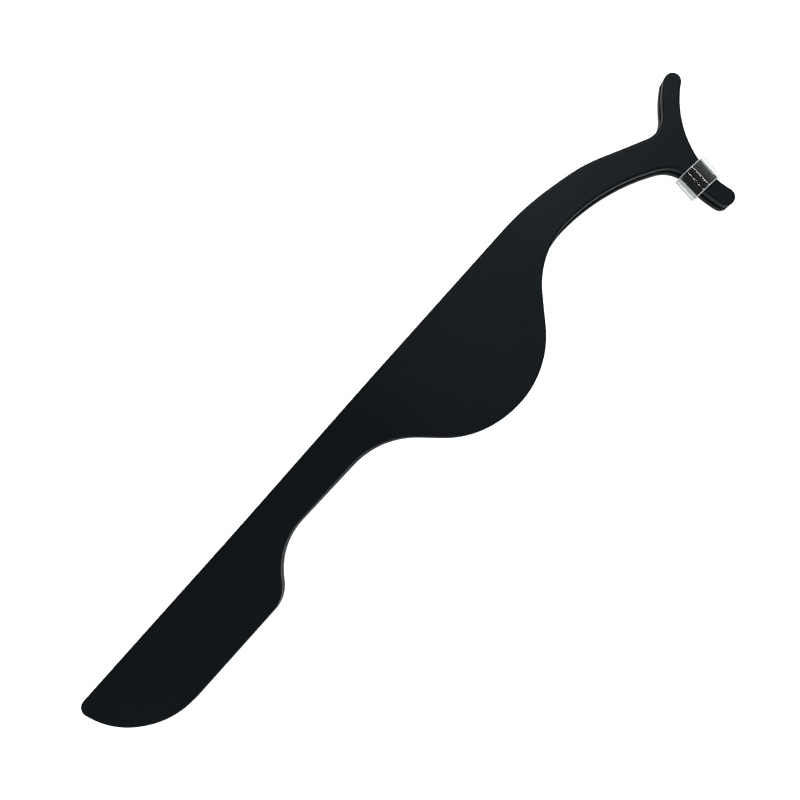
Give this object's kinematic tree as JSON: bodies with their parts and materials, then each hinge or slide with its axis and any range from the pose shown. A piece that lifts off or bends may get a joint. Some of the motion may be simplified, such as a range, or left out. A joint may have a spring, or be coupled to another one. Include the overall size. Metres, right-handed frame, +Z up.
{
  "type": "false eyelash applicator tweezer",
  "caption": "Flat spring tweezer of matched sheet-steel leaves joined at a paddle tail, with a rounded finger grip, curved neck, eyelid-curved Y jaw and a clear retaining sleeve.",
  "frame": {"origin": "middle of the part's plan at the level it lies on, under the lower leaf's finger grip", "axes": "+X along the handle from the tail to the jaw, -Y toward the finger grip's bulge, +Z up through the two leaves"},
  "size_m": [0.1168, 0.0204, 0.0066],
  "materials": {
    "leaf_coating": "smooth satin black coating over sheet steel",
    "weld_steel": "bare fused steel, hidden between the tail blades",
    "clear_plastic": "clear flexible tube, glossy, cut square at both ends"
  },
  "bodies": {
    "tail": {"upper_leaf_tail": "leaf_coating", "lower_leaf_tail": "leaf_coating", "upper_leaf_flexure": "leaf_coating", "lower_leaf_flexure": "leaf_coating", "weld_nugget_1": "weld_steel", "weld_nugget_2": "weld_steel", "weld_nugget_3": "weld_steel"},
    "upper_arm": {"upper_leaf_arm": "leaf_coating"},
    "lower_arm": {"lower_leaf_arm": "leaf_coating"},
    "sleeve": {"retaining_sleeve": "clear_plastic"}
  },
  "joints": [
    {"name": "lower_arm_flex", "type": "hinge", "parent": "tail", "child": "lower_arm", "pos_m": [-0.01503, 0.00735, 0.00179], "axis": [0, -1, 0], "range_deg": [0, 0.21], "stiffness_Nm_per_rad": 1.5, "springref_deg": -3.15, "deforming": ["lower_leaf_flexure"]},
    {"name": "upper_arm_flex", "type": "hinge", "parent": "tail", "child": "upper_arm", "pos_m": [-0.01503, 0.00735, 0.00481], "axis": [0, 1, 0], "range_deg": [0, 0.21], "stiffness_Nm_per_rad": 1.5, "springref_deg": -3.15, "deforming": ["upper_leaf_flexure"]},
    {"name": "sleeve_slide", "type": "hinge", "parent": "lower_arm", "child": "sleeve", "pos_m": [0.06537, -0.00605, 0.0033], "axis": [0, 0, 1], "range_deg": [0, 30]}
  ],
  "couplings": [
    {"joint": "upper_arm_flex", "follows": "lower_arm_flex", "ratio": 1}
  ]
}
